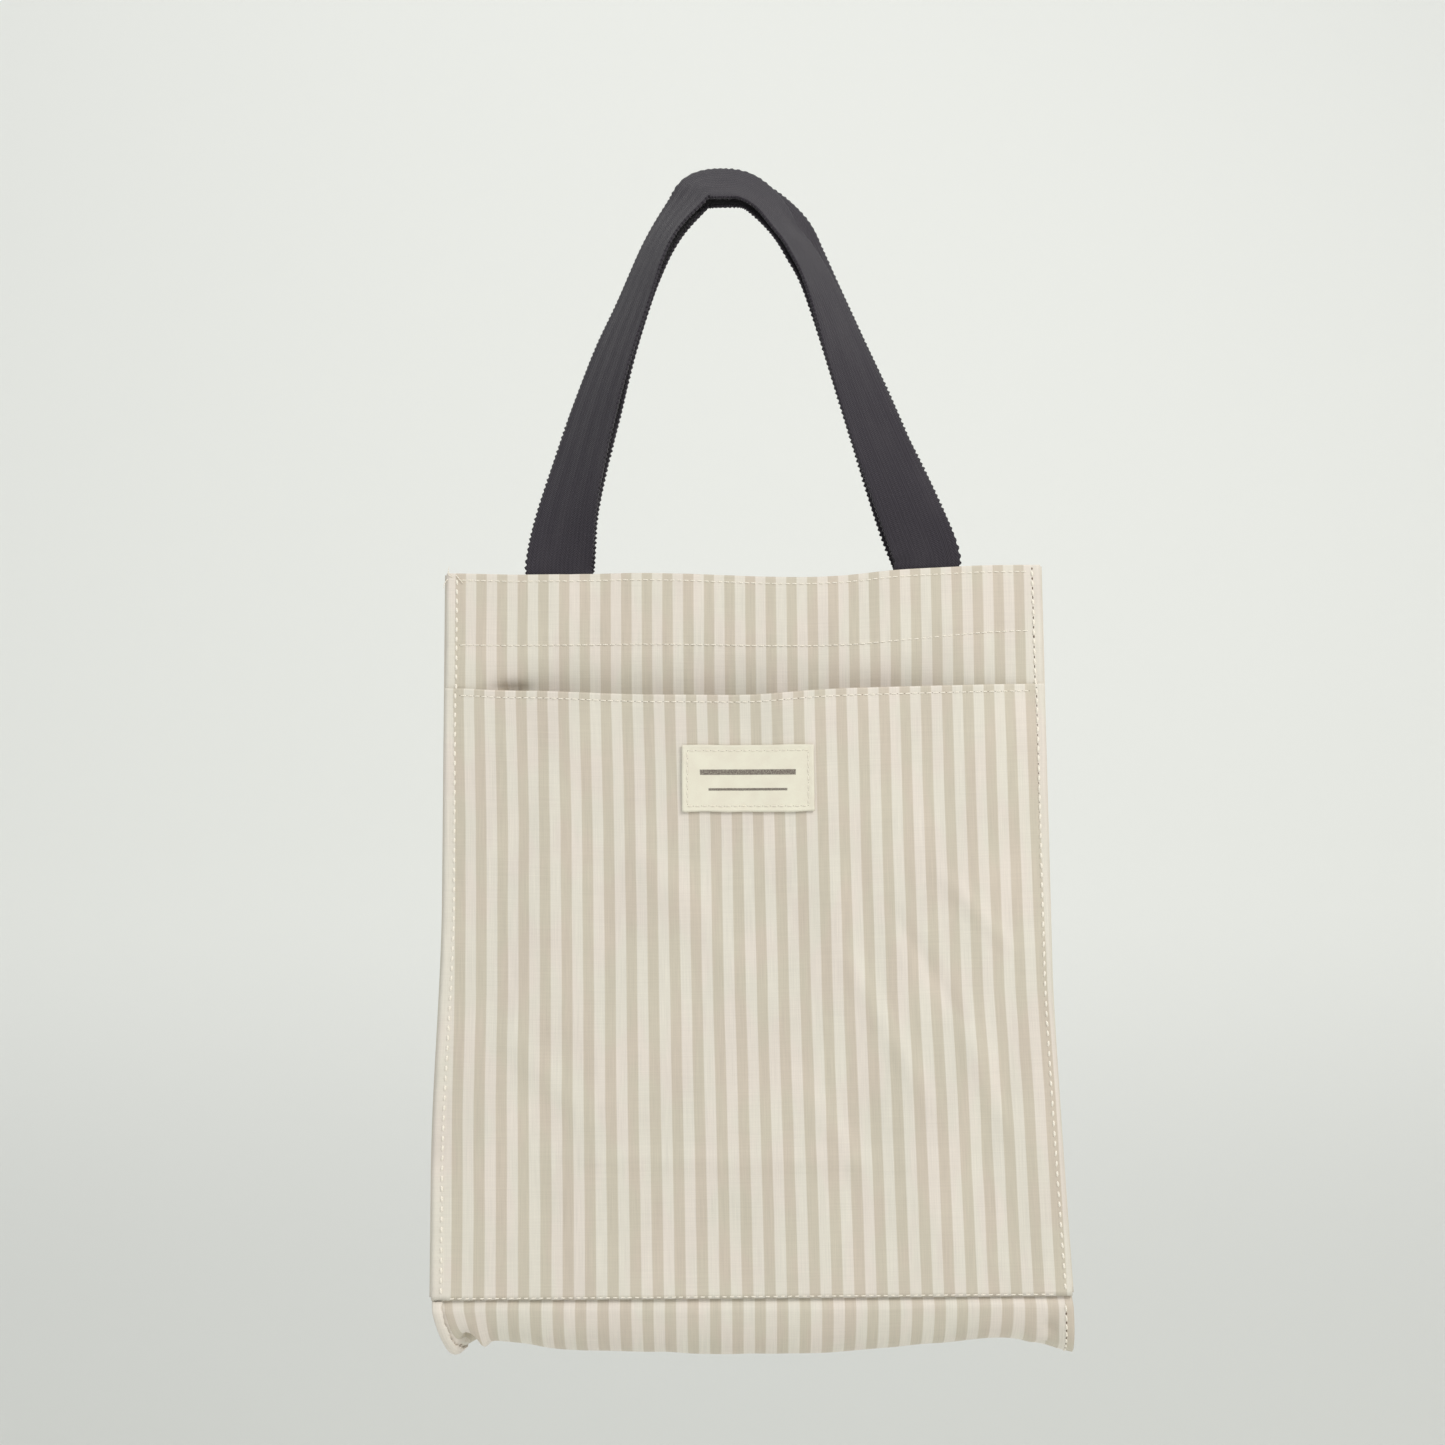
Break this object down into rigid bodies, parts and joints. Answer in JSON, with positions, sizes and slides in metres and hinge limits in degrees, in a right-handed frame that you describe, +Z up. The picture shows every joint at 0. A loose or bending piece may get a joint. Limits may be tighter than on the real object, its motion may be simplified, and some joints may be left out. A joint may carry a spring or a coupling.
{
  "type": "canvas tote bag",
  "caption": "Striped canvas tote bag hung by its webbing handles, with inward folded side gussets, a sagging sewn-in bottom and a full-width front pocket with a small sewn label.",
  "frame": {"origin": "the hook point, under the tops of the handle loops", "axes": "+Z up as the bag hangs, +Y towards the back panel and the wall behind it, +X to the right of someone facing the front pocket"},
  "size_m": [0.286, 0.0509, 0.5666],
  "materials": {
    "striped_canvas": "coated cotton canvas, beige and cream stripes, slight sheen",
    "cotton_webbing": "matt woven webbing, charcoal",
    "label_tape": "plain woven cotton tape",
    "cream_thread": "cream sewing thread"
  },
  "bodies": {
    "bag_back": {"back_panel": "striped_canvas", "bottom_panel": "striped_canvas", "left_gusset": "striped_canvas", "right_gusset": "striped_canvas", "back_strap_end_left": "cotton_webbing", "back_strap_end_right": "cotton_webbing", "thread_back_hem_top": "cream_thread", "thread_back_hem_lower": "cream_thread", "thread_back_bottom": "cream_thread", "thread_back_side_left": "cream_thread", "thread_back_side_right": "cream_thread", "thread_gusset_hem_left": "cream_thread", "thread_gusset_hem_right": "cream_thread", "thread_bottom_left": "cream_thread", "thread_bottom_right": "cream_thread"},
    "bag_front": {"front_panel": "striped_canvas", "front_pocket": "striped_canvas", "pocket_label": "label_tape", "front_strap_end_left": "cotton_webbing", "front_strap_end_right": "cotton_webbing", "thread_front_hem_top": "cream_thread", "thread_front_hem_lower": "cream_thread", "thread_pocket_mouth": "cream_thread", "thread_front_bottom": "cream_thread", "thread_front_side_left": "cream_thread", "thread_front_side_right": "cream_thread", "thread_label": "cream_thread"},
    "front_handle": {"front_handle": "cotton_webbing"},
    "back_handle": {"back_handle": "cotton_webbing"}
  },
  "joints": [
    {"name": "mouth_opening", "type": "hinge", "parent": "bag_back", "child": "bag_front", "pos_m": [0, -0.026, -0.5155], "axis": [1, 0, 0], "range_deg": [0, 7]},
    {"name": "front_handle_swing", "type": "hinge", "parent": "bag_front", "child": "front_handle", "pos_m": [0, -0.015, -0.1755], "axis": [1, 0, 0], "range_deg": [0, 150]},
    {"name": "back_handle_swing", "type": "hinge", "parent": "bag_back", "child": "back_handle", "pos_m": [0, 0.015, -0.1755], "axis": [-1, 0, 0], "range_deg": [0, 165]}
  ]
}
